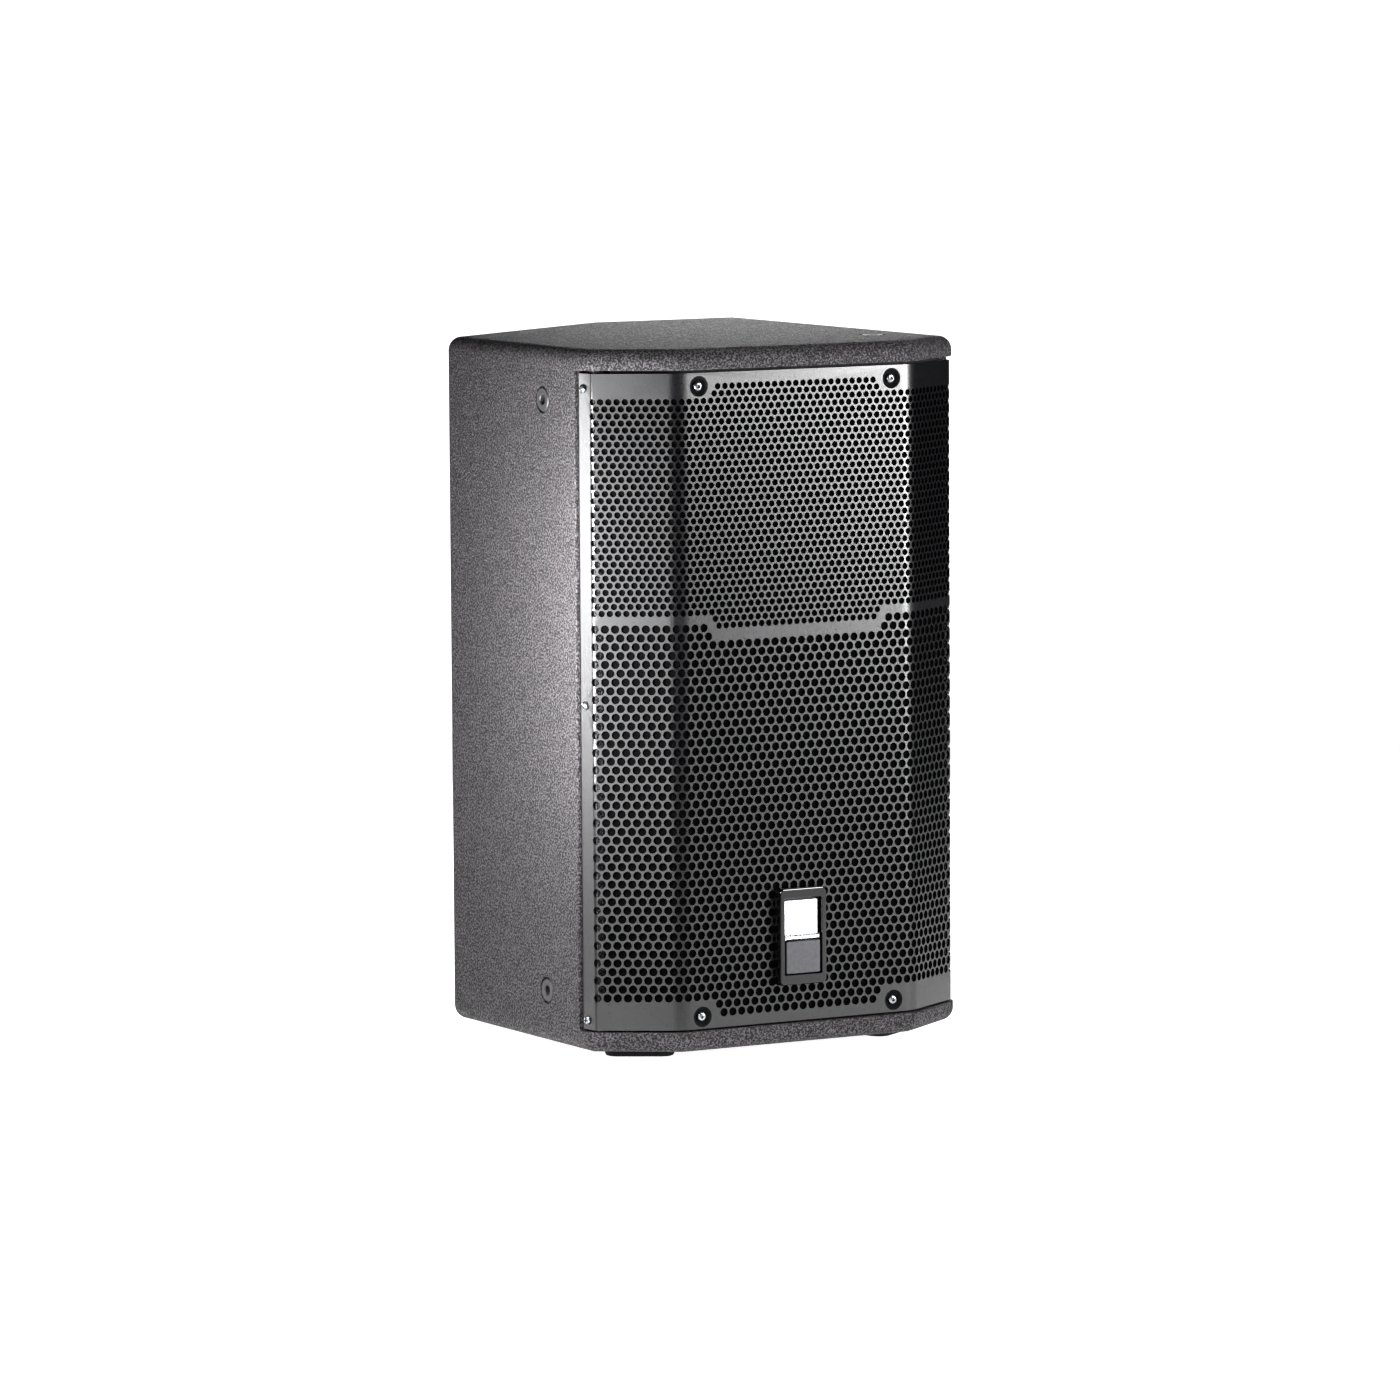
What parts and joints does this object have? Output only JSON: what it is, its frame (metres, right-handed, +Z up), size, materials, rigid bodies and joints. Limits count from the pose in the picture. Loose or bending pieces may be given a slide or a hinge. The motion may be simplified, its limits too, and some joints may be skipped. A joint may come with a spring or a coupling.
{
  "type": "pa speaker cabinet",
  "caption": "Two-way PA speaker: painted plywood box with a cut rear-left face, bent perforated grille, woofer, horn, ports, pocket handle and pole socket.",
  "frame": {"origin": "on the floor under the middle of the whole speaker's box", "axes": "+Z up, the grille faces -Y, +X to the right of someone looking at the grille"},
  "size_m": [0.371, 0.4314, 0.613],
  "materials": {
    "textured_paint": "charcoal-black textured polyurethane paint on plywood",
    "stained_plywood": "black stained birch plywood",
    "powder_coated_steel": "semi-gloss black powder coat on perforated steel",
    "foam": "black open-cell foam",
    "black_oxide_steel": "black oxide steel",
    "rubber": "moulded black rubber",
    "moulded_plastic": "moulded black ABS",
    "gloss_bezel": "gloss black ABS",
    "satin_silver": "satin silver anodised aluminium",
    "dark_grey_plastic": "dark grey ABS",
    "cast_aluminium": "black painted die-cast aluminium",
    "paper": "pressed black paper pulp",
    "treated_cloth": "doped cloth roll",
    "phenolic_cloth": "phenolic impregnated cotton",
    "copper": "enamelled copper winding",
    "zinc_steel": "zinc plated steel",
    "ferrite": "sintered ferrite",
    "white_plastic": "moulded white nylon",
    "circuit_board": "solder-masked glass-epoxy board",
    "film_capacitor": "amber taped film capacitor",
    "red_wire": "red PVC insulated wire",
    "black_wire": "black PVC insulated wire"
  },
  "bodies": {
    "cabinet": {"back_panel": "textured_paint", "badge_bezel": "gloss_bezel", "badge_lower_plate": "dark_grey_plastic", "badge_upper_plate": "satin_silver", "bottom_board": "textured_paint", "compression_driver": "cast_aluminium", "crossover_board": "circuit_board", "crossover_capacitor": "film_capacitor", "crossover_inductor": "copper", "driver_lead": "black_wire", "foot_front_left": "rubber", "foot_front_right": "rubber", "foot_rear_left": "rubber", "foot_rear_right": "rubber", "front_baffle": "stained_plywood", "grille": "powder_coated_steel", "grille_foam": "foam", "grille_post_left": "stained_plywood", "grille_post_right": "stained_plywood", "grille_rail_upper": "stained_plywood", "grille_screw_lower_left": "black_oxide_steel", "grille_screw_lower_right": "black_oxide_steel", "grille_screw_upper_left": "black_oxide_steel", "grille_screw_upper_right": "black_oxide_steel", "grille_side_screw_lower_left": "black_oxide_steel", "grille_side_screw_lower_right": "black_oxide_steel", "grille_side_screw_middle_left": "black_oxide_steel", "grille_side_screw_middle_right": "black_oxide_steel", "grille_side_screw_upper_left": "black_oxide_steel", "grille_side_screw_upper_right": "black_oxide_steel", "horn": "moulded_plastic", "input_connector": "moulded_plastic", "input_plate": "moulded_plastic", "left_side_panel": "textured_paint", "mode_switch_body": "moulded_plastic", "output_connector": "moulded_plastic", "pole_socket": "black_oxide_steel", "port_tube_left": "moulded_plastic", "port_tube_right": "moulded_plastic", "rear_left_panel": "textured_paint", "right_side_panel": "textured_paint", "shelf_brace": "stained_plywood", "side_handle": "moulded_plastic", "suspension_insert_left_lower": "black_oxide_steel", "suspension_insert_left_upper": "black_oxide_steel", "suspension_insert_right_lower": "black_oxide_steel", "suspension_insert_right_upper": "black_oxide_steel", "suspension_insert_top": "black_oxide_steel", "top_board": "textured_paint", "woofer_basket": "cast_aluminium", "woofer_lead": "red_wire", "woofer_magnet": "ferrite", "woofer_pole_yoke": "zinc_steel", "woofer_spider": "phenolic_cloth", "woofer_surround": "treated_cloth", "woofer_top_plate": "zinc_steel"},
    "woofer_moving_parts": {"woofer_cone": "paper", "woofer_dust_cap": "paper", "voice_coil": "copper"},
    "mode_switch": {"mode_switch_slider": "white_plastic"}
  },
  "joints": [
    {"name": "cone_stroke", "type": "slide", "parent": "cabinet", "child": "woofer_moving_parts", "axis": [0, -1, 0], "range_m": [-0.006, 0.006], "stiffness_N_per_m": 3000, "deforming": ["woofer_surround", "woofer_spider"]},
    {"name": "mode_switch_slide", "type": "slide", "parent": "cabinet", "child": "mode_switch", "axis": [0, 0, 1], "range_m": [0, 0.005]}
  ]
}
